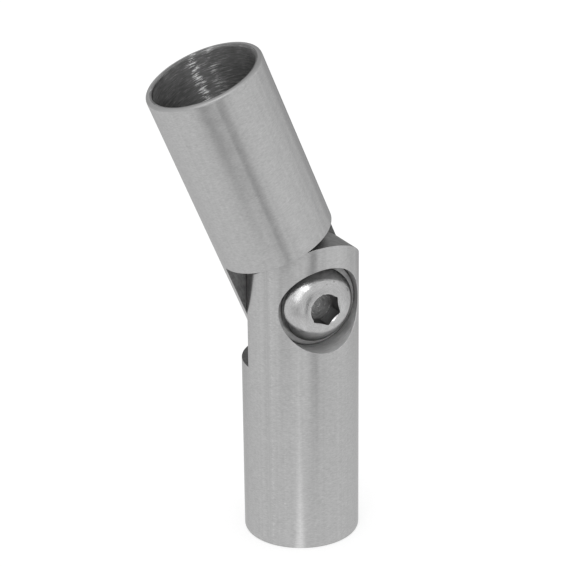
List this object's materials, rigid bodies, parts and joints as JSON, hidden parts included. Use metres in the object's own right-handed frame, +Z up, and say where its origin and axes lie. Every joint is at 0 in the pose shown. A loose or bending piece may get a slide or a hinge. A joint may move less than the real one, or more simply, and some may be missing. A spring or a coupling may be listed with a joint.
{
  "type": "adjustable rod joint",
  "caption": "Adjustable knuckle that joins two round rods end to end at a set angle, with a bored socket for each rod and a clamp screw through the knuckle.",
  "frame": {"origin": "centre of the lower socket's mouth, on its end face", "axes": "+Z up the lower socket's bore from its mouth, -Y out through the clamp screw's head, so the knuckle bends in the XZ plane about a line along Y; the upper socket leans towards -X"},
  "size_m": [0.03, 0.016, 0.0703],
  "materials": {
    "socket_steel": "satin, ground round the tube",
    "screw_steel": "polished",
    "washer_steel": "plain"
  },
  "bodies": {
    "lower": {"lower_socket": "socket_steel"},
    "upper": {"upper_socket": "socket_steel"},
    "washer": {"lock_washer": "washer_steel"},
    "screw": {"clamp_screw": "screw_steel"}
  },
  "joints": [
    {"name": "knuckle_bend", "type": "hinge", "parent": "lower", "child": "upper", "pos_m": [0, 0, 0.035], "axis": [0, -1, 0], "range_deg": [-112.8, 67.2]},
    {"name": "screw_lift", "type": "slide", "parent": "upper", "child": "washer", "axis": [0, -1, 0], "range_m": [0, 0.002]},
    {"name": "screw_turn", "type": "hinge", "parent": "washer", "child": "screw", "pos_m": [0, 0, 0.035], "axis": [0, -1, 0], "range_deg": [0, 720]}
  ],
  "couplings": [
    {"joint": "screw_turn", "follows": "screw_lift", "rad_per_m": 6283.2}
  ]
}
